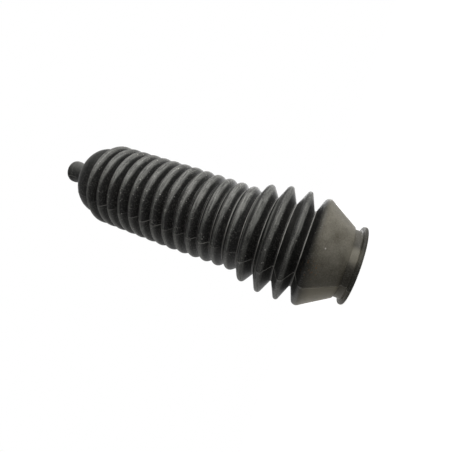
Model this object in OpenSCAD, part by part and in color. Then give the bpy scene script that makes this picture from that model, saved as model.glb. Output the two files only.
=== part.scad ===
// Steering rack boot: a moulded rubber bellows that seals a steering rack to its tie rod.
// It stands on the face of its large mouth, which is Z = 0, and its small neck points up.
// The boot is one moulding, so it is one wall: a closed outline turned once round the Z axis.

/* [Large mouth] */
// Bore of the mouth, which slips over the rack housing
mouth_bore_d = 38; // [32:0.5:42]
// Wall of the mouth under its clamp
mouth_wall = 2.2; // [1.6:0.1:3]
// Height of the end lip above the clamp seat
mouth_lip_h = 3; // [1.5:0.1:5]
// Thickness of the end lip along the axis
mouth_lip_t = 2.2; // [1.2:0.1:4]
// Width of the clamp seat between the end lip and the cone
mouth_seat_w = 4.4; // [3.5:0.1:10]
// Step from the clamp seat up to the foot of the cone
cone_step = 1.6; // [0.5:0.1:3]

/* [Cone] */
// Length from the clamp seat to the crest of the cone
cone_len = 18.4; // [14:0.2:30]
// Diameter over the crest of the cone
cone_d = 68.4; // [62:0.5:76]
// Rounding of the crest of the cone
cone_round = 3; // [1.6:0.1:4]

/* [Deep folds] */
// Number of deep folds
deep_count = 3; // [1:1:5]
// Distance from crest to crest of the deep folds
deep_pitch = 12; // [10:0.1:16]
// Diameter over the deep folds
deep_d = 70.8; // [66:0.2:76]
// Diameter over the last deep fold, which steps down to the bellows
deep_last_d = 66; // [62:0.2:72]
// Depth of the roots below the crest of the cone and of the deep folds
deep_depth = 9.6; // [6:0.1:12]
// Rounding of the deep crests
deep_round = 1.6; // [1.6:0.1:2.5]

/* [Bellows] */
// Number of folds in the bellows
fold_count = 13; // [6:1:18]
// Distance from crest to crest of the folds
fold_pitch = 8.6; // [7.6:0.1:11]
// Distance from the last deep crest to the first crest of the bellows
fold_gap = 10.2; // [9:0.1:13]
// Diameter over the first fold, next to the deep folds
fold_first_d = 57.6; // [56:0.2:64]
// Diameter over the folds once they have grown to full size
fold_d = 59.8; // [57:0.2:66]
// Number of folds over which the diameter grows
fold_growth = 5; // [1:1:6]
// Depth of the roots below the full-size folds
fold_depth = 4.5; // [2:0.1:6]
// Rounding of the crests of the folds
fold_round = 2.6; // [1.8:0.1:3.4]

/* [End dome] */
// Diameter over the end dome
dome_d = 50.8; // [46:0.2:56]
// Depth of the root between the last fold and the end dome, below the end dome
dome_depth = 1; // [0.5:0.1:4]
// Width of the band round the end dome, from its crest to its shoulder
dome_band = 1.6; // [0.6:0.2:6]
// Rounding of the shoulder of the end dome
dome_round = 8.6; // [6:0.2:11]
// Length of the end dome from its shoulder to the foot of the neck
dome_len = 13; // [12:0.5:20]

/* [Neck] */
// Bore of the neck, which grips the tie rod
neck_bore_d = 11; // [8:0.25:14]
// Wall of the neck under its clamp
neck_wall = 1.9; // [1.4:0.1:3]
// Width of the clamp seat between the end dome and the neck lip
neck_seat_w = 16.2; // [8:0.2:24]
// Height of the neck lip above the clamp seat
neck_lip_h = 1; // [0.6:0.1:3]
// Thickness of the neck lip along the axis
neck_lip_t = 3.4; // [1.6:0.1:5]
// Rounding between the end dome and the neck
neck_fillet = 1.5; // [0.8:0.1:3]

/* [Wall] */
// Wall of the folds
fold_wall = 1.5; // [1:0.1:1.8]
// Rounding at the bottom of every root, on the outside
root_round = 0.7; // [0.3:0.1:0.8]
// Rounding of the lips and the small edges
edge_round = 0.8; // [0.3:0.1:1.2]
// Rounding of the rims of the two bores
bore_round = 0.5; // [0.2:0.1:0.6]

/* [Hidden] */
$fa = 15;
$fs = 0.5;
// Smallest gap left between neighbouring roundings, and the least rounding inside a crest
slack = 0.1;

mouth_bore_r = mouth_bore_d / 2;
mouth_seat_r = mouth_bore_r + mouth_wall;
mouth_lip_r = mouth_seat_r + mouth_lip_h;
cone_foot_r = mouth_seat_r + cone_step;
cone_root_r = cone_d / 2 - deep_depth;
deep_root_r = deep_d / 2 - deep_depth;
fold_root_r = fold_d / 2 - fold_depth;
dome_root_r = dome_d / 2 - dome_depth;
neck_bore_r = neck_bore_d / 2;
neck_seat_r = neck_bore_r + neck_wall;
neck_lip_r = neck_seat_r + neck_lip_h;

cone_foot_z = mouth_lip_t + mouth_seat_w;
cone_z = cone_foot_z + cone_len;
deep_z = cone_z + deep_pitch;
deep_end_z = deep_z + (deep_count - 1) * deep_pitch;
fold_z = deep_end_z + fold_gap;
fold_end_z = fold_z + (fold_count - 1) * fold_pitch;
dome_z = fold_end_z + fold_pitch;
shoulder_z = dome_z + dome_band;
neck_z = shoulder_z + dome_len;
neck_lip_z = neck_z + neck_seat_w;
total_z = neck_lip_z + neck_lip_t;

mouth_lip_round = min(edge_round, mouth_lip_t / 2 - slack, mouth_lip_h - slack);
mouth_seat_round = min(edge_round, mouth_seat_w / 2 - slack);
step_round = min(edge_round, (cone_step - slack) / 2);
neck_lip_round = min(edge_round, neck_lip_t / 2 - slack);
fold_crest_round = min(fold_round, fold_pitch / 2 - root_round - slack);

// The outline is a belt pulled tight round a loop of small discs, each [radius, height, rounding].
// A disc with a positive rounding lies in the rubber and makes a crest or an outside edge.
// A disc with a negative rounding lies outside the rubber and makes a root or an inside corner.
function crest(r, z, round) = [r - round, z, round];
function root(r, z, round) = [r + round, z, -round];

// The disc on the other face of a wall, round the same centre unless the crest is too tight for that
function across(disc, wall) =
    disc.z > 0
        ? let (inside = max(disc.z - wall, slack)) [disc.x + disc.z - wall - inside, disc.y, -inside]
        : [disc.x, disc.y, wall - disc.z];

// Direction in which the belt faces on its straight run from one disc to the next
function facing(a, b) =
    let (run = [b.x - a.x, b.y - a.y])
    atan2(run.y, run.x) - acos((a.z - b.z) / norm(run));

// Signed turn between two directions, never more than half a circle
function turn(from, to) = (to - from + 540) % 360 - 180;

// Number of straight pieces that stand for an arc
function pieces(round, angle) =
    max(1, ceil(min(abs(angle) / $fa, abs(angle) * PI / 180 * abs(round) / $fs)));

// Points of the belt round a closed loop of discs
function belt(discs) =
    let (
        n = len(discs),
        out = [for (i = [0 : n - 1]) facing(discs[i], discs[(i + 1) % n])]
    )
    [
        for (i = [0 : n - 1])
            let (
                disc = discs[i],
                from = out[(i + n - 1) % n],
                angle = turn(from, out[i]),
                steps = disc.z == 0 ? 0 : pieces(disc.z, angle)
            )
            for (k = [0 : steps])
                let (a = from + angle * k / max(steps, 1))
                [disc.x + disc.z * cos(a), disc.y + disc.z * sin(a)]
    ];

// Outside of the mouth: end lip, clamp seat and the foot of the cone, from the mouth upwards
mouth_discs = [
    crest(mouth_lip_r, mouth_lip_round, mouth_lip_round),
    crest(mouth_lip_r, mouth_lip_t - mouth_lip_round, mouth_lip_round),
    root(mouth_seat_r, mouth_lip_t + mouth_seat_round, mouth_seat_round),
    root(mouth_seat_r, cone_foot_z - step_round, step_round),
    crest(cone_foot_r, cone_foot_z + step_round, step_round)
];

// Crest of the cone, the deep folds and the first root of the bellows
deep_discs = [
    crest(cone_d / 2, cone_z, cone_round),
    for (i = [0 : deep_count - 1])
        let (
            z = deep_z + i * deep_pitch,
            root_r = i == 0 ? cone_root_r : deep_root_r,
            crest_d = i == deep_count - 1 ? deep_last_d : deep_d
        )
        each [
            root(root_r, z - deep_pitch / 2, root_round),
            crest(crest_d / 2, z, deep_round)
        ],
    root(deep_root_r, (deep_end_z + fold_z) / 2, root_round)
];

// The folds of the bellows, each with the root after it
fold_discs = [
    for (i = [0 : fold_count - 1])
        let (
            z = fold_z + i * fold_pitch,
            grown = min(i / fold_growth, 1),
            crest_d = fold_first_d + (fold_d - fold_first_d) * grown,
            root_r = i == fold_count - 1 ? dome_root_r : fold_root_r
        )
        each [
            crest(crest_d / 2, z, fold_crest_round),
            root(root_r, z + fold_pitch / 2, root_round)
        ]
];

// The end dome: a smaller fold on its near side, and a broad shoulder towards the neck
dome_discs = [
    crest(dome_d / 2, dome_z, fold_crest_round),
    crest(dome_d / 2, shoulder_z, dome_round)
];

// Outside of the neck: fillet at its foot, clamp seat and end lip
neck_foot_disc = root(neck_seat_r, neck_z + neck_fillet, neck_fillet);
neck_discs = [
    neck_foot_disc,
    root(neck_seat_r, neck_lip_z - edge_round, edge_round),
    crest(neck_lip_r, neck_lip_z + neck_lip_round, neck_lip_round),
    crest(neck_lip_r, total_z - neck_lip_round, neck_lip_round)
];

// Inside of the neck: its bore, from the tip down to the end dome
neck_bore_discs = [
    [neck_bore_r + bore_round, total_z - bore_round, bore_round],
    across(neck_foot_disc, neck_wall)
];

// Inside of the mouth: its bore, from the foot of the cone down to the face
mouth_bore_discs = [
    [mouth_bore_r + mouth_wall, cone_foot_z, mouth_wall],
    [mouth_bore_r + bore_round, bore_round, bore_round]
];

folds_outside = concat(deep_discs, fold_discs, dome_discs);
folds_inside = [
    for (i = [len(folds_outside) - 1 : -1 : 0]) across(folds_outside[i], fold_wall)
];
outside = concat(mouth_discs, folds_outside, neck_discs);
inside = concat(neck_bore_discs, folds_inside, mouth_bore_discs);

module boot() {
    color("#2d2c2a")
        rotate_extrude($fn = 144)
            polygon(belt(concat(outside, inside)));
}

boot();
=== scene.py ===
"""A steering rack boot in moulded rubber, standing on the face of its large mouth.

The boot's neck points up, along +Z. The photograph was taken close to the boot and from the side, with the
camera rolled, so that the neck points to the left of the picture and away from the camera.
"""
import math
from types import SimpleNamespace

import bpy
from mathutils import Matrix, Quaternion, Vector


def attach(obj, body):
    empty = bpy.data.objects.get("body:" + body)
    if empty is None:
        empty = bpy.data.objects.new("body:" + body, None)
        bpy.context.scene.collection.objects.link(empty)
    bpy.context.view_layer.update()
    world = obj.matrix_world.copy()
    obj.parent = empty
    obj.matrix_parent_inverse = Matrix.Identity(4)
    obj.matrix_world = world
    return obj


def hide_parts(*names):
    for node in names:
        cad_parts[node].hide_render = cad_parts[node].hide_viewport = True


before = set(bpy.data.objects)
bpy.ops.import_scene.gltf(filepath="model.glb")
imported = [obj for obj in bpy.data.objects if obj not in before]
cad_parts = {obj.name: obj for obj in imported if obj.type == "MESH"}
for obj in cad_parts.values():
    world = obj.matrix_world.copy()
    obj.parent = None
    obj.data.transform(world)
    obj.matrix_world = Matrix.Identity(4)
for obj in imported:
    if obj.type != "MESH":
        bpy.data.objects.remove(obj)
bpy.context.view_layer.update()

MM = 0.001

# Sizes of the boot, in millimetres
MOUTH_BORE_R = 19.0
MOUTH_WALL = 2.2
MOUTH_LIP_H = 3.0
MOUTH_LIP_T = 2.2
MOUTH_SEAT_W = 4.4
CONE_STEP = 1.6
CONE_LEN = 18.4
CONE_R = 34.2
CONE_ROUND = 3.0
DEEP_COUNT = 3
DEEP_PITCH = 12.0
DEEP_R = 35.4
DEEP_LAST_R = 33.0
DEEP_DEPTH = 9.6
DEEP_ROUND = 1.6
FOLD_COUNT = 13
FOLD_PITCH = 8.6
FOLD_GAP = 10.2
FOLD_FIRST_R = 28.8
FOLD_R = 29.9
FOLD_GROWTH = 5
FOLD_DEPTH = 4.5
FOLD_ROUND = 2.6
DOME_R = 25.4
DOME_DEPTH = 1.0
DOME_BAND = 1.6
DOME_ROUND = 8.6
DOME_LEN = 13.0
NECK_BORE_R = 5.5
NECK_WALL = 1.9
NECK_SEAT_W = 16.2
NECK_LIP_H = 1.0
NECK_LIP_T = 3.4
NECK_FILLET = 1.5
FOLD_WALL = 1.5
ROOT_ROUND = 0.7
EDGE_ROUND = 0.8
BORE_ROUND = 0.5
SLACK = 0.1

# Heights of the parts of the boot above the face of its mouth, in millimetres
CONE_FOOT_Z = MOUTH_LIP_T + MOUTH_SEAT_W
CONE_Z = CONE_FOOT_Z + CONE_LEN
DEEP_Z = CONE_Z + DEEP_PITCH
DEEP_END_Z = DEEP_Z + (DEEP_COUNT - 1) * DEEP_PITCH
FOLD_Z = DEEP_END_Z + FOLD_GAP
DOME_Z = FOLD_Z + FOLD_COUNT * FOLD_PITCH
SHOULDER_Z = DOME_Z + DOME_BAND
NECK_Z = SHOULDER_Z + DOME_LEN
NECK_LIP_Z = NECK_Z + NECK_SEAT_W
TOTAL_Z = NECK_LIP_Z + NECK_LIP_T

# The photograph's camera, from its perspective: focal length in pixels of a frame 452 wide, in millimetres
# its distance from the boot's axis and its height above the mouth's face, and in degrees how it is turned
IMAGE_SIDE = 452
FOCAL_PX = 290
SENSOR_MM = 36.0
CAMERA_DISTANCE = 188.5
CAMERA_HEIGHT = 28.29
CAMERA_YAW = -0.66
CAMERA_PITCH = 16.23
CAMERA_ROLL = 70.95

# The mould's parting line: its bearing round the boot in degrees, and its ridge
PARTING_BEARING = 235.0
PARTING_HALF_ANGLE = 0.6
PARTING_RIDGE = 0.2

# Sizes of the patterns in the rubber's finish, in millimetres. Real dust is finer than these grains, which
# are drawn just coarse enough to show.
CLOUD_SIZE = 12.0
SKIN_SIZE = 3.0
GRAIN_SIZE = 0.8
SPECK_CELL = 1.7
STREAK_LENGTH = 8.0
STREAK_WIDTH = 0.7
SCRATCH_LENGTH = 40.0
SCRATCH_APART = 9.0

# Heights at which the dust, its painted highlights and the film begin or end, in millimetres
DEEP_TOP_Z = 66.0
NEAR_ROOT_Z = 75.0
FAR_ROOT_Z = 135.0
DOME_DUST_Z = 184.0
NECK_DUST_Z = 190.0
FILM_EDGE_Z = 27.8
FILM_FULL_Z = 22.6
FILM_FULL_LOW_Z = 19.0

# Across the boot, along X in millimetres: where the side towards the key lamp, on whose crests a highlight is
# painted, the low side, and the fading of that painted band towards the key lamp begin, and where each is
# full
HIGHLIT_START_X = -7.0
HIGHLIT_FULL_X = 13.0
LOW_START_X = 5.0
LOW_FULL_X = -10.0
FAINTER_START_X = 13.0
FAINTER_FULL_X = 28.0

# Middles of the single marks on the boot, and of the painted highlight on the clamp seat, in millimetres
LIGHT_SPECK = (3.9, -31.2, 19.9)
RUST_PATCH = (-9.5, -32.5, 24.5)
SEAT_HIGHLIGHT_MIDDLE = (5.2, -20.5, 4.2)

# Colours of the clean rubber, the dust on it with its painted highlight, the film on the cone and the mouth,
# the painted highlight on the clamp seat, the marks and the studio
CLEAN_DARK = "#141413"
CLEAN_LIGHT = "#222221"
DUST_AND_HIGHLIGHT_GREY = "#8c8c88"
FILM_DARK = "#5f5b50"
FILM_LIGHT = "#868277"
FILM_PALE_HALF = "#b3ac9b"
SEAT_HIGHLIGHT_COLOUR = "#8b877b"
MARK_PALE = "#dbd9d2"
RUST_BROWN = "#a06a30"
FLOOR_PALE = "#e6e6e4"
WHITE = "#ffffff"

# Distance of the lamps from the boot's axis, the height that they are turned to, and the width of the floor,
# in metres
LAMP_DISTANCE = 0.5
LAMP_AIM = 0.1
FLOOR_SIZE = 6.0

# Resolution of the mesh: steps of its arcs in degrees and millimetres, steps of half a turn, the distance in
# millimetres within which points are one, and the angle in degrees up to which an edge is shaded smooth
ARC_STEP = 15.0
ARC_LENGTH = 0.45
HALF_TURN_STEPS = 80
MERGE_DISTANCE = 0.002
SMOOTH_ANGLE = 30.0


def linear(code):
    """An sRGB hex colour as Blender's linear RGBA."""
    channels = [int(code[i:i + 2], 16) / 255 for i in (1, 3, 5)]
    return [c / 12.92 if c <= 0.04045 else ((c + 0.055) / 1.055) ** 2.4 for c in channels] + [1.0]


def crest(radius, height, rounding):
    """A disc inside the rubber that makes a crest or an outside edge."""
    return Vector((radius - rounding, height, rounding))


def root(radius, height, rounding):
    """A disc outside the rubber that makes a root or an inside corner."""
    return Vector((radius + rounding, height, -rounding))


def across(disc, wall):
    """The disc on the other face of a wall."""
    if disc.z <= 0:
        return Vector((disc.x, disc.y, wall - disc.z))
    inside = max(disc.z - wall, SLACK)
    return Vector((disc.x + disc.z - wall - inside, disc.y, -inside))


def facing(a, b):
    """Direction in which a belt faces on its straight run between two discs."""
    run = (b - a).xy
    return math.atan2(run.y, run.x) - math.acos((a.z - b.z) / run.length)


def turn(start, end):
    """Signed turn between two directions, never more than half a circle."""
    return (end - start + 3 * math.pi) % (2 * math.pi) - math.pi


def belt(discs):
    """Points of a belt pulled round a closed loop of discs, and how far along it each point is.

    Each disc comes with a name. The third result has, for each disc named crest or root, the place where the
    belt round it faces straight out from the axis: the top of the crest or the bottom of the root.
    """
    out = [facing(a, b) for (a, _), (b, _) in zip(discs, discs[1:] + discs[:1])]
    points = []
    along = []
    places = {"crest": [], "root": []}
    for (disc, name), start, end in zip(discs, out[-1:] + out[:-1], out):
        angle = turn(start, end)
        steps = max(1, math.ceil(min(abs(math.degrees(angle)) / ARC_STEP, abs(angle * disc.z) / ARC_LENGTH)))
        for k in range(steps + 1):
            a = start + angle * k / steps
            point = disc.xy + disc.z * Vector((math.cos(a), math.sin(a)))
            along.append(along[-1] + (point - points[-1]).length if points else 0.0)
            points.append(point)
            if k == 0 and name in places:
                places[name].append(along[-1] + abs(disc.z * turn(start, 0.0)))
    return points, along, places


def boot_discs():
    """The discs of the boot's outline, up the outside and then down the inside."""
    mouth_r = MOUTH_BORE_R + MOUTH_WALL
    step_round = (CONE_STEP - SLACK) / 2
    mouth = [
        (crest(mouth_r + MOUTH_LIP_H, EDGE_ROUND, EDGE_ROUND), "lip"),
        (crest(mouth_r + MOUTH_LIP_H, MOUTH_LIP_T - EDGE_ROUND, EDGE_ROUND), "lip"),
        (root(mouth_r, MOUTH_LIP_T + EDGE_ROUND, EDGE_ROUND), "seat"),
        (root(mouth_r, CONE_FOOT_Z - step_round, step_round), "seat"),
        (crest(mouth_r + CONE_STEP, CONE_FOOT_Z + step_round, step_round), "foot"),
    ]
    folds = [(crest(CONE_R, CONE_Z, CONE_ROUND), "cone")]
    for i in range(DEEP_COUNT):
        height = DEEP_Z + i * DEEP_PITCH
        low = (DEEP_R if i else CONE_R) - DEEP_DEPTH
        high = DEEP_R if i < DEEP_COUNT - 1 else DEEP_LAST_R
        folds.append((root(low, height - DEEP_PITCH / 2, ROOT_ROUND), "root"))
        folds.append((crest(high, height, DEEP_ROUND), "crest"))
    folds.append((root(DEEP_R - DEEP_DEPTH, (DEEP_END_Z + FOLD_Z) / 2, ROOT_ROUND), "root"))
    for i in range(FOLD_COUNT):
        height = FOLD_Z + i * FOLD_PITCH
        high = FOLD_FIRST_R + (FOLD_R - FOLD_FIRST_R) * min(i / FOLD_GROWTH, 1)
        low = FOLD_R - FOLD_DEPTH if i < FOLD_COUNT - 1 else DOME_R - DOME_DEPTH
        folds.append((crest(high, height, FOLD_ROUND), "crest"))
        folds.append((root(low, height + FOLD_PITCH / 2, ROOT_ROUND), "root"))
    folds.append((crest(DOME_R, DOME_Z, FOLD_ROUND), "dome"))
    folds.append((crest(DOME_R, SHOULDER_Z, DOME_ROUND), "shoulder"))
    neck_r = NECK_BORE_R + NECK_WALL
    neck_foot = root(neck_r, NECK_Z + NECK_FILLET, NECK_FILLET)
    neck = [
        (neck_foot, "neck"),
        (root(neck_r, NECK_LIP_Z - EDGE_ROUND, EDGE_ROUND), "neck"),
        (crest(neck_r + NECK_LIP_H, NECK_LIP_Z + EDGE_ROUND, EDGE_ROUND), "neck"),
        (crest(neck_r + NECK_LIP_H, TOTAL_Z - EDGE_ROUND, EDGE_ROUND), "neck"),
    ]
    inside = [Vector((NECK_BORE_R + BORE_ROUND, TOTAL_Z - BORE_ROUND, BORE_ROUND))]
    inside.append(across(neck_foot, NECK_WALL))
    inside += [across(disc, FOLD_WALL) for disc, _ in reversed(folds)]
    inside.append(Vector((mouth_r, CONE_FOOT_Z, MOUTH_WALL)))
    inside.append(Vector((MOUTH_BORE_R + BORE_ROUND, BORE_ROUND, BORE_ROUND)))
    return mouth + folds + neck + [(disc, "inside") for disc in inside]


def from_nearest(place, marks):
    """Distance from the nearest of some places, with its sign."""
    return min((place - mark for mark in marks), key=abs)


def edit(piece):
    """Goes into edit mode on the vertices of one piece, with nothing selected."""
    bpy.ops.object.select_all(action="DESELECT")
    piece.select_set(True)
    bpy.context.view_layer.objects.active = piece
    bpy.ops.object.mode_set(mode="EDIT")
    bpy.ops.mesh.select_mode(type="VERT")
    bpy.ops.mesh.select_all(action="DESELECT")


def draw_section():
    """The cut section of the wall on the parting line: one vertex extruded from point to point.

    Each vertex keeps its distances from the nearest crest and the nearest root, in millimetres along the
    surface, and whether it is on the inside.
    """
    points, along, places = belt(boot_discs())
    tip = max(range(len(points)), key=lambda i: points[i].y)
    bearing = math.radians(PARTING_BEARING)
    corners = [Vector((p.x * math.cos(bearing), p.x * math.sin(bearing), p.y)) * MM for p in points]
    bpy.ops.object.select_all(action="DESELECT")
    bpy.ops.mesh.primitive_plane_add(size=MM, location=(0, 0, 0))
    piece = bpy.context.object
    piece.name = "boot_moulding"
    edit(piece)
    bpy.ops.mesh.select_all(action="SELECT")
    bpy.ops.mesh.merge(type="CENTER")
    bpy.ops.transform.translate(value=corners[0])
    for here, there in zip(corners, corners[1:]):
        bpy.ops.mesh.extrude_vertices_move(TRANSFORM_OT_translate={"value": there - here})
    bpy.ops.object.mode_set(mode="OBJECT")
    columns = {
        "from_crest": [from_nearest(s, places["crest"]) for s in along],
        "from_root": [from_nearest(s, places["root"]) for s in along],
        "inside": [float(i > tip) for i in range(len(points))],
    }
    for name, column in columns.items():
        layer = piece.data.attributes.new(name, "FLOAT", "POINT")
        layer.data.foreach_set("value", column)
    return piece


def turn_section(piece):
    """Spins the section round the axis, with a narrow strip on each side of both parting lines."""
    strip = math.radians(PARTING_HALF_ANGLE)
    edit(piece)
    bpy.ops.mesh.select_all(action="SELECT")
    bpy.ops.mesh.edge_face_add()
    bpy.ops.mesh.delete(type="ONLY_FACE")
    bpy.ops.mesh.select_all(action="SELECT")
    half_turn = [(strip, 1), (math.pi - 2 * strip, HALF_TURN_STEPS), (strip, 1)]
    for angle, steps in half_turn * 2:
        bpy.ops.mesh.spin(steps=steps, angle=angle, center=(0, 0, 0), axis=(0, 0, 1))
    bpy.ops.mesh.select_all(action="SELECT")
    bpy.ops.mesh.remove_doubles(threshold=MERGE_DISTANCE * MM)
    bpy.ops.mesh.normals_make_consistent(inside=False)
    bpy.ops.object.mode_set(mode="OBJECT")


def raise_parting_ridge(piece):
    """Lifts the outside of the two parting lines into a hair-thin ridge, the flash that the mould leaves."""
    bearing = math.radians(PARTING_BEARING)
    across_line = Vector((-math.sin(bearing), math.cos(bearing), 0))
    edit(piece)
    bpy.ops.object.mode_set(mode="OBJECT")
    inside = piece.data.attributes["inside"].data
    for vertex in piece.data.vertices:
        on_line = abs(vertex.co.dot(across_line)) < MERGE_DISTANCE * MM
        between_ends = PARTING_RIDGE < vertex.co.z / MM < TOTAL_Z - PARTING_RIDGE
        vertex.select = on_line and between_ends and inside[vertex.index].value < 0.5
    bpy.ops.object.mode_set(mode="EDIT")
    bpy.ops.transform.shrink_fatten(value=PARTING_RIDGE * MM)
    bpy.ops.object.mode_set(mode="OBJECT")


def add(tree, kind, inputs=None, **settings):
    """Adds one node. An input is a value, or what it is linked to: a socket, or another node's result."""
    node = tree.nodes.new(kind)
    for name, value in settings.items():
        setattr(node, name, value)
    for name, value in (inputs or {}).items():
        if isinstance(value, bpy.types.Node):
            value = next(socket for socket in value.outputs if socket.enabled)
        if isinstance(value, bpy.types.NodeSocket):
            tree.links.new(value, node.inputs[name])
        else:
            node.inputs[name].default_value = value
    return node


def spot(tree, place, centre, inner, outer):
    """1 within the inner distance of a point of the boot and 0 beyond the outer one, all in millimetres."""
    away = add(tree, "ShaderNodeVectorMath", {0: place, 1: Vector(centre) * MM}, operation="DISTANCE")
    return add(tree, "ShaderNodeMapRange", {"Value": away, "From Min": outer * MM, "From Max": inner * MM},
               interpolation_type="SMOOTHSTEP")


def read_boot(tree):
    """What the finishes read at each point of the boot: where it is, and the patterns that they share.

    Distances from the crests and the roots are in millimetres along the surface, positive towards the neck.
    """
    here = SimpleNamespace()
    here.place = add(tree, "ShaderNodeTexCoord").outputs["Object"]
    axes = add(tree, "ShaderNodeSeparateXYZ", {"Vector": here.place}).outputs
    here.side = axes["X"]
    here.height = axes["Z"]
    here.from_crest = add(tree, "ShaderNodeAttribute", attribute_name="from_crest").outputs["Fac"]
    here.from_root = add(tree, "ShaderNodeAttribute", attribute_name="from_root").outputs["Fac"]
    here.inside = add(tree, "ShaderNodeAttribute", attribute_name="inside").outputs["Fac"]
    bearing = math.radians(PARTING_BEARING)
    past_parting = (math.sin(bearing), -math.cos(bearing), 0.0)
    here.past_line = add(tree, "ShaderNodeVectorMath", {0: here.place, 1: past_parting},
                         operation="DOT_PRODUCT")

    # Clouds of wear, an uneven skin, grains of dust, and cells with one speck each
    here.cloud = add(tree, "ShaderNodeTexNoise",
                     {"Vector": here.place, "Scale": 1 / (CLOUD_SIZE * MM), "Detail": 4.0})
    here.skin = add(tree, "ShaderNodeTexNoise",
                    {"Vector": here.place, "Scale": 1 / (SKIN_SIZE * MM), "Detail": 2.0})
    here.grain = add(tree, "ShaderNodeTexNoise",
                     {"Vector": here.place, "Scale": 1 / (GRAIN_SIZE * MM), "Detail": 2.0})
    here.patchy = add(tree, "ShaderNodeMapRange", {"Value": here.cloud, "From Min": 0.4, "From Max": 0.6})
    here.cells = add(tree, "ShaderNodeTexVoronoi", {"Vector": here.place, "Scale": 1 / (SPECK_CELL * MM)})
    here.chance = add(tree, "ShaderNodeSeparateColor", {"Color": here.cells.outputs["Color"]}).outputs

    # The side towards the key lamp, where the crests get a painted highlight, the cone and the deep folds,
    # the low side, and its part beyond the line
    # The side towards the key lamp, where a highlight is painted over the dust on the crests
    here.upper = add(tree, "ShaderNodeMapRange",
                     {"Value": here.side, "From Min": HIGHLIT_START_X * MM, "From Max": HIGHLIT_FULL_X * MM},
                     interpolation_type="SMOOTHSTEP")
    here.deep = add(tree, "ShaderNodeMapRange",
                    {"Value": here.height, "From Min": (DEEP_TOP_Z + 0.5) * MM,
                     "From Max": (DEEP_TOP_Z - 0.5) * MM})
    here.low_side = add(tree, "ShaderNodeMapRange",
                        {"Value": here.side, "From Min": LOW_START_X * MM, "From Max": LOW_FULL_X * MM})
    beyond = add(tree, "ShaderNodeMapRange",
                 {"Value": here.past_line, "From Min": 0.0, "From Max": 0.6 * MM, "To Max": 0.8})
    here.beyond = add(tree, "ShaderNodeMath", {0: beyond, 1: here.low_side}, operation="MULTIPLY")

    # The middle of the dust and painted highlight on a crest, which moves towards the mouth, as a highlight
    # of the low key lamp would, on the side towards that lamp and on the deep folds
    reach = add(tree, "ShaderNodeMapRange", {"Value": here.upper, "To Min": -0.1, "To Max": 1.2})
    reach = add(tree, "ShaderNodeMath", {0: here.deep, 1: 1.7, 2: reach}, operation="MULTIPLY_ADD")
    here.up_slope = add(tree, "ShaderNodeMath", {0: here.from_crest, 1: reach}, operation="ADD")
    off_crest = add(tree, "ShaderNodeMath", {0: here.up_slope}, operation="ABSOLUTE")
    here.by_crest = add(tree, "ShaderNodeMapRange",
                        {"Value": off_crest, "From Min": 3.0, "From Max": 1.0, "To Min": 0.2})
    return here


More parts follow.
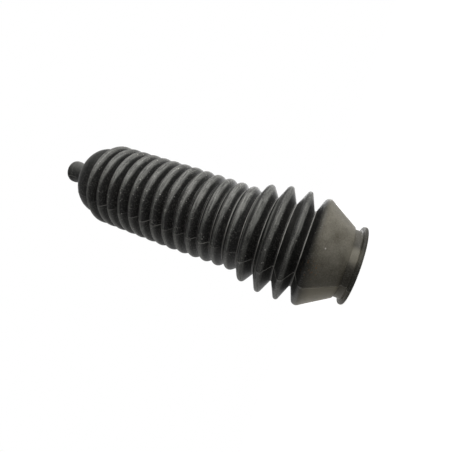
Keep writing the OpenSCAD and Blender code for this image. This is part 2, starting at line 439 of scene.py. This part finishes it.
def crest_dust_and_highlight(tree, here):
    """Grey dust over the crests, with a painted highlight, in streaks that run round the boot, and smooth
    dust on the dome and neck.

    On the side towards the key lamp it is a broad bright band, a painted highlight over the dust. On the
    other side it is a narrow one on the crest, and beyond the parting line a thin coat.
    """
    mouth_side = add(tree, "ShaderNodeMapRange",
                     {"Value": here.up_slope, "From Min": -2.8, "From Max": -0.4},
                     interpolation_type="SMOOTHSTEP")
    neck_side = add(tree, "ShaderNodeMapRange",
                    {"Value": here.up_slope, "From Min": 3.4, "From Max": 1.2, "To Min": 0.1},
                    interpolation_type="SMOOTHSTEP")
    # Painted highlight: the band is narrow and faint away from the key lamp, and broad and bright towards it
    narrowest = add(tree, "ShaderNodeMapRange", {"Value": here.deep, "To Min": 5.0, "To Max": 1.6})
    narrow = add(tree, "ShaderNodeMapRange", {"Value": here.upper, "To Min": narrowest, "To Max": 1.0})
    most_dust_and_highlight = add(tree, "ShaderNodeMapRange", {"Value": here.deep, "To Min": 0.97, "To Max": 1.3})
    dust_and_highlight_amount = add(tree, "ShaderNodeMapRange", {"Value": here.upper, "To Min": 0.42, "To Max": most_dust_and_highlight})
    band = add(tree, "ShaderNodeMath", {0: mouth_side, 1: neck_side}, operation="MULTIPLY")
    band = add(tree, "ShaderNodeMath", {0: band, 1: narrow}, operation="POWER")
    band = add(tree, "ShaderNodeMath", {0: band, 1: dust_and_highlight_amount}, operation="MULTIPLY")

    # Streaks and grains wear the band through, and it fades towards +X, painted shade where the key lamp
    # already lights the crests most
    round_boot = (1 / (STREAK_LENGTH * MM), 1 / (STREAK_LENGTH * MM), 1 / (STREAK_WIDTH * MM))
    stretched = add(tree, "ShaderNodeMapping", {"Vector": here.place, "Scale": round_boot})
    streak = add(tree, "ShaderNodeTexNoise", {"Vector": stretched, "Scale": 1.0, "Detail": 3.0})
    worn = add(tree, "ShaderNodeMath", {0: streak, 1: here.grain, 2: streak}, operation="MULTIPLY_ADD")
    worn = add(tree, "ShaderNodeMapRange",
               {"Value": worn, "From Min": 0.45, "From Max": 1.05, "To Min": 0.3, "To Max": 1.5})
    # Painted shade: the band fades where the key lamp already lights the crests most
    fainter_near_key = add(tree, "ShaderNodeMapRange",
                  {"Value": here.side, "From Min": FAINTER_START_X * MM, "From Max": FAINTER_FULL_X * MM,
                   "To Min": 1.0, "To Max": 0.5})
    worn = add(tree, "ShaderNodeMath", {0: worn, 1: fainter_near_key}, operation="MULTIPLY")
    band = add(tree, "ShaderNodeMath", {0: band, 1: worn}, operation="MULTIPLY", use_clamp=True)

    # Cloudy dust on the dome and the neck, only on the side of the painted highlight, and the thin coat
    # beyond the parting line
    on_neck = add(tree, "ShaderNodeMapRange",
                  {"Value": here.height, "From Min": DOME_DUST_Z * MM, "From Max": NECK_DUST_Z * MM,
                   "To Max": 1.2})
    on_neck = add(tree, "ShaderNodeMath", {0: on_neck, 1: here.upper}, operation="MULTIPLY")
    on_neck = add(tree, "ShaderNodeMath", {0: on_neck, 1: here.cloud}, operation="MULTIPLY")
    dust_and_highlight = add(tree, "ShaderNodeMath", {0: band, 1: on_neck}, operation="MAXIMUM")
    coat = add(tree, "ShaderNodeMath", {0: here.beyond, 1: here.by_crest}, operation="MULTIPLY")
    return add(tree, "ShaderNodeMath", {0: coat, 1: 0.38, 2: dust_and_highlight}, operation="MULTIPLY_ADD", use_clamp=True)


def root_dust_and_highlight(tree, here):
    """A thin pale line of dust just below each root, with a painted highlight on it: it lies higher up the
    flank on the far folds, and is brightest on the side that faces the camera and on the side opposite.
    """
    flank = add(tree, "ShaderNodeMapRange",
                {"Value": here.height, "From Min": NEAR_ROOT_Z * MM, "From Max": FAR_ROOT_Z * MM,
                 "To Min": 0.95, "To Max": 2.5})
    off_line = add(tree, "ShaderNodeMath", {0: here.from_root, 1: flank}, operation="ADD")
    off_line = add(tree, "ShaderNodeMath", {0: off_line}, operation="ABSOLUTE")
    line = add(tree, "ShaderNodeMapRange", {"Value": off_line, "From Min": 0.8, "From Max": 0.3},
               interpolation_type="SMOOTHSTEP")
    off_middle = add(tree, "ShaderNodeMath", {0: here.side}, operation="ABSOLUTE")
    # Painted highlight: the line is brightest on the side facing the camera and on the side opposite
    dust_and_highlight_amount = add(tree, "ShaderNodeMapRange",
                {"Value": off_middle, "From Min": 13 * MM, "From Max": 2 * MM, "To Min": 0.65, "To Max": 1.0},
                interpolation_type="SMOOTHSTEP")
    return add(tree, "ShaderNodeMath", {0: line, 1: dust_and_highlight_amount}, operation="MULTIPLY")


def pale_specks(tree, here):
    """Pale specks up to 0.8 mm wide, most of them by the crests, and a fine speckle on the low side."""
    chosen = add(tree, "ShaderNodeMapRange", {"Value": here.chance["Red"], "From Min": 0.2, "From Max": 0.7})
    speck = add(tree, "ShaderNodeMapRange", {"Value": here.cells, "From Min": 0.23, "From Max": 0.13})
    speck = add(tree, "ShaderNodeMath", {0: speck, 1: chosen}, operation="MULTIPLY")
    speck = add(tree, "ShaderNodeMath", {0: speck, 1: here.by_crest}, operation="MULTIPLY")
    speck = add(tree, "ShaderNodeMath", {0: speck, 1: here.patchy}, operation="MULTIPLY")
    speckle = add(tree, "ShaderNodeMapRange", {"Value": here.grain, "From Min": 0.52, "From Max": 0.7})
    share = add(tree, "ShaderNodeMapRange", {"Value": here.upper, "To Min": 0.1, "To Max": 0.04})
    speckle = add(tree, "ShaderNodeMath", {0: speckle, 1: share}, operation="MULTIPLY")
    return add(tree, "ShaderNodeMath", {0: speck, 1: speckle}, operation="MAXIMUM")


def hair_scratches(tree, here):
    """Broken hair scratches along the boot, where a slow noise crosses its middle value."""
    along = (1 / (SCRATCH_APART * MM), 1 / (SCRATCH_APART * MM), 1 / (SCRATCH_LENGTH * MM))
    drawn_out = add(tree, "ShaderNodeMapping", {"Vector": here.place, "Scale": along})
    wander = add(tree, "ShaderNodeTexNoise", {"Vector": drawn_out, "Scale": 1.0, "Detail": 1.0})
    wander = add(tree, "ShaderNodeMath", {0: wander, 1: 0.5}, operation="SUBTRACT")
    wander = add(tree, "ShaderNodeMath", {0: wander}, operation="ABSOLUTE")
    scratch = add(tree, "ShaderNodeMapRange",
                  {"Value": wander, "From Min": 0.007, "From Max": 0.002, "To Max": 0.35})
    broken = add(tree, "ShaderNodeMapRange", {"Value": here.skin, "From Min": 0.5, "From Max": 0.6})
    scratch = add(tree, "ShaderNodeMath", {0: scratch, 1: broken}, operation="MULTIPLY")
    return add(tree, "ShaderNodeMath", {0: scratch, 1: here.by_crest}, operation="MULTIPLY")


def parting_dust(tree, here):
    """Pale dust that the ridge of the parting line has caught, here and there."""
    off_line = add(tree, "ShaderNodeMath", {0: here.past_line}, operation="ABSOLUTE")
    caught = add(tree, "ShaderNodeMapRange",
                 {"Value": off_line, "From Min": 0.4 * MM, "From Max": 0.1 * MM, "To Max": 0.32})
    return add(tree, "ShaderNodeMath", {0: caught, 1: here.patchy}, operation="MULTIPLY")


def mouth_film(tree, here):
    """How thick the film of the cone and the mouth is, and a painted highlight on it on the clamp seat.

    It fades out over the crest of the cone, more softly on the low side, and is thinner on the seat and lip.
    """
    full = add(tree, "ShaderNodeMapRange",
               {"Value": here.low_side, "To Min": FILM_FULL_Z * MM, "To Max": FILM_FULL_LOW_Z * MM})
    cone = add(tree, "ShaderNodeMapRange",
               {"Value": here.height, "From Min": FILM_EDGE_Z * MM, "From Max": full},
               interpolation_type="SMOOTHSTEP")
    seat = add(tree, "ShaderNodeMapRange",
               {"Value": here.height, "From Min": (CONE_FOOT_Z - 0.6) * MM,
                "From Max": (CONE_FOOT_Z + 0.4) * MM, "To Min": 0.4})
    lip = add(tree, "ShaderNodeMapRange",
              {"Value": here.height, "From Min": (MOUTH_LIP_T - 0.4) * MM,
               "From Max": (MOUTH_LIP_T + 0.2) * MM, "To Min": 0.55})
    film = add(tree, "ShaderNodeMath", {0: cone, 1: seat}, operation="MULTIPLY")
    film = add(tree, "ShaderNodeMath", {0: film, 1: lip}, operation="MULTIPLY")
    # Painted highlight on the clamp seat: a lighter patch of film where a lamp's reflection would show
    painted_seat_highlight = spot(tree, here.place, SEAT_HIGHLIGHT_MIDDLE, 2.0, 7.0)
    painted_seat_highlight = add(tree, "ShaderNodeMath", {0: painted_seat_highlight, 1: lip}, operation="MULTIPLY")
    return film, painted_seat_highlight


def rust_grains(tree, here):
    """A few grains of rust on the cone by the parting line, in the same cells as the specks."""
    rust = add(tree, "ShaderNodeMapRange",
               {"Value": here.cells, "From Min": 0.34, "From Max": 0.2, "To Max": 0.8})
    rust = add(tree, "ShaderNodeMath", {0: rust, 1: here.chance["Green"]}, operation="MULTIPLY")
    patch = spot(tree, here.place, RUST_PATCH, 3.5, 7.5)
    return add(tree, "ShaderNodeMath", {0: rust, 1: patch}, operation="MULTIPLY")


def moulded_rubber():
    """Black moulded rubber, nearly black where it is clean, with a dull sheen and a slightly uneven skin.

    Grey dust lies over the crests, with a painted highlight in a broad bright band on the side towards the
    key lamp, and pale dust with a painted highlight draws a thin line by each root. An olive film lies on the
    cone and the mouth, paler beyond the parting line, with a painted highlight on the clamp seat. Pale
    specks, hair scratches and a few grains of rust are scattered over them.
    """
    material = bpy.data.materials.new("black_moulded_rubber")
    material.use_nodes = True
    tree = material.node_tree
    tree.nodes.clear()
    here = read_boot(tree)
    dust_and_highlight = crest_dust_and_highlight(tree, here)
    film, painted_seat_highlight = mouth_film(tree, here)

    # The pale marks, of which few show on the film, the root lines with their painted highlight, and one
    # light speck on the cone
    marks = add(tree, "ShaderNodeMath", {0: pale_specks(tree, here), 1: hair_scratches(tree, here)},
                operation="MAXIMUM")
    marks = add(tree, "ShaderNodeMath", {0: marks, 1: parting_dust(tree, here)}, operation="MAXIMUM")
    off_film = add(tree, "ShaderNodeMapRange", {"Value": film, "To Min": 1.0, "To Max": 0.15})
    marks = add(tree, "ShaderNodeMath", {0: marks, 1: off_film}, operation="MULTIPLY")
    marks = add(tree, "ShaderNodeMath", {0: marks, 1: root_dust_and_highlight(tree, here)}, operation="MAXIMUM")
    light_speck = spot(tree, here.place, LIGHT_SPECK, 0.1, 0.65)
    marks = add(tree, "ShaderNodeMath", {0: marks, 1: light_speck}, operation="MAXIMUM")

    # Clean rubber, then the dust with its painted highlight, the film, the painted highlight on the seat and
    # the marks over it on the outside
    clean = add(tree, "ShaderNodeMix",
                {"Factor": here.cloud, "A": linear(CLEAN_DARK), "B": linear(CLEAN_LIGHT)}, data_type="RGBA")
    # Dust on the crests with its painted highlight
    dusted_and_highlit = add(tree, "ShaderNodeMix", {"Factor": dust_and_highlight, "A": clean, "B": linear(DUST_AND_HIGHLIGHT_GREY)},
                 data_type="RGBA")
    mottle = add(tree, "ShaderNodeMath", {0: here.grain, 1: 0.5, 2: here.cloud}, operation="MULTIPLY_ADD")
    mottle = add(tree, "ShaderNodeMapRange", {"Value": mottle, "From Min": 0.55, "From Max": 0.95})
    olive = add(tree, "ShaderNodeMix", {"Factor": mottle, "A": linear(FILM_DARK), "B": linear(FILM_LIGHT)},
                data_type="RGBA")
    olive = add(tree, "ShaderNodeMix", {"Factor": here.beyond, "A": olive, "B": linear(FILM_PALE_HALF)},
                data_type="RGBA")
    filmed = add(tree, "ShaderNodeMix", {"Factor": film, "A": dusted_and_highlit, "B": olive}, data_type="RGBA")
    # The painted highlight on the clamp seat
    filmed = add(tree, "ShaderNodeMix", {"Factor": painted_seat_highlight, "A": filmed, "B": linear(SEAT_HIGHLIGHT_COLOUR)},
                 data_type="RGBA")
    marked = add(tree, "ShaderNodeMix", {"Factor": marks, "A": filmed, "B": linear(MARK_PALE)},
                 data_type="RGBA")
    marked = add(tree, "ShaderNodeMix",
                 {"Factor": rust_grains(tree, here), "A": marked, "B": linear(RUST_BROWN)}, data_type="RGBA")
    colour = add(tree, "ShaderNodeMix", {"Factor": here.inside, "A": marked, "B": clean}, data_type="RGBA")

    # Rubber's own IOR, with most of its gloss dulled by fine dust, and rougher where the dust and its painted
    # highlight are strong
    uneven = add(tree, "ShaderNodeBump", {"Height": here.skin, "Strength": 0.3, "Distance": 0.25 * MM})
    bump = add(tree, "ShaderNodeBump",
               {"Height": here.grain, "Strength": 0.3, "Distance": 0.08 * MM, "Normal": uneven})
    rough = add(tree, "ShaderNodeMapRange", {"Value": dust_and_highlight, "To Min": 0.46, "To Max": 0.55})
    surface = add(tree, "ShaderNodeBsdfPrincipled",
                  {"Base Color": colour, "Roughness": rough, "Specular IOR Level": 0.11, "Normal": bump})
    add(tree, "ShaderNodeOutputMaterial", {"Surface": surface})
    return material


def make_boot():
    """The boot's moulding, in place of its CAD solid."""
    piece = draw_section()
    turn_section(piece)
    raise_parting_ridge(piece)
    bpy.ops.object.shade_smooth_by_angle(angle=math.radians(SMOOTH_ANGLE))
    piece.data.materials.append(moulded_rubber())
    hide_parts("boot")
    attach(piece, "root")


def aim_camera():
    """The photograph's camera."""
    yaw = math.radians(CAMERA_YAW)
    pitch = math.radians(CAMERA_PITCH)
    view = Vector((math.sin(yaw) * math.cos(pitch), math.cos(yaw) * math.cos(pitch), math.sin(pitch)))
    turned = view.to_track_quat("-Z", "Y") @ Quaternion((0, 0, 1), -math.radians(CAMERA_ROLL))
    bpy.ops.object.camera_add(location=(0, -CAMERA_DISTANCE * MM, CAMERA_HEIGHT * MM))
    camera = bpy.context.object
    camera.rotation_euler = turned.to_euler()
    camera.data.sensor_width = SENSOR_MM
    camera.data.lens = SENSOR_MM * FOCAL_PX / IMAGE_SIDE
    camera.data.clip_start = 10 * MM
    bpy.context.scene.camera = camera


def add_softbox(name, bearing, height, width, depth, level):
    """A rectangular lamp at a bearing round the boot, in degrees, and a height above the floor, in metres.

    It is turned to the boot. Its level is the brightness that it gives a white surface which faces it there.
    """
    centre = Vector((0, 0, LAMP_AIM))
    place = Vector((math.cos(math.radians(bearing)), math.sin(math.radians(bearing)), 0)) * LAMP_DISTANCE
    place.z = height
    bpy.ops.object.light_add(type="AREA", location=place)
    lamp = bpy.context.object
    lamp.name = name
    lamp.rotation_euler = (centre - place).to_track_quat("-Z", "Y").to_euler()
    lamp.data.shape = "RECTANGLE"
    lamp.data.size = width
    lamp.data.size_y = depth
    lamp.data.energy = level * (math.pi * (centre - place).length) ** 2


def shows_white(tree):
    """1 for the rays that see the surroundings in the picture and in reflections, and 0 for light."""
    path = add(tree, "ShaderNodeLightPath").outputs
    seen = add(tree, "ShaderNodeMath", {0: path["Is Camera Ray"], 1: path["Is Glossy Ray"]},
               operation="MAXIMUM")
    return add(tree, "ShaderNodeMath", {0: seen, 1: path["Is Transmission Ray"]}, operation="MAXIMUM")


def light_studio():
    """Three softboxes round the boot, and white surroundings that add almost no light."""
    world = bpy.data.worlds.new("studio")
    bpy.context.scene.world = world
    world.use_nodes = True
    tree = world.node_tree
    tree.nodes.clear()
    strength = add(tree, "ShaderNodeMapRange", {"Value": shows_white(tree), "To Min": 0.02, "To Max": 1.0})
    background = add(tree, "ShaderNodeBackground", {"Color": linear(WHITE), "Strength": strength})
    add(tree, "ShaderNodeOutputWorld", {"Surface": background})
    add_softbox("key_softbox", bearing=-25, height=0.05, width=0.45, depth=0.1, level=0.9)
    add_softbox("back_softbox", bearing=60, height=0.15, width=0.3, depth=0.3, level=0.4)
    add_softbox("low_softbox", bearing=165, height=0.15, width=0.3, depth=0.3, level=0.26)


def lay_floor():
    """A pale floor that is white like the surroundings and keeps the boot's shadow near the boot."""
    bpy.ops.object.select_all(action="DESELECT")
    bpy.ops.mesh.primitive_plane_add(size=FLOOR_SIZE, location=(0, 0, 0))
    floor = bpy.context.object
    floor.name = "floor"
    material = bpy.data.materials.new("pale_floor")
    material.use_nodes = True
    tree = material.node_tree
    tree.nodes.clear()
    place = add(tree, "ShaderNodeTexCoord").outputs["Object"]
    away = add(tree, "ShaderNodeVectorMath", {0: place}, operation="LENGTH")
    strength = add(tree, "ShaderNodeMapRange",
                   {"Value": away, "From Min": 0.05, "From Max": 0.25, "To Min": 0.9, "To Max": 1.0})
    matte = add(tree, "ShaderNodeBsdfDiffuse", {"Color": linear(FLOOR_PALE)})
    glow = add(tree, "ShaderNodeEmission", {"Color": linear(WHITE), "Strength": strength})
    both = add(tree, "ShaderNodeAddShader", {0: matte, 1: glow})
    shown = add(tree, "ShaderNodeMixShader", {0: shows_white(tree), 1: matte, 2: both})
    add(tree, "ShaderNodeOutputMaterial", {"Surface": shown})
    floor.data.materials.append(material)


make_boot()
aim_camera()
light_studio()
lay_floor()
bpy.context.scene.view_settings.view_transform = "Standard"
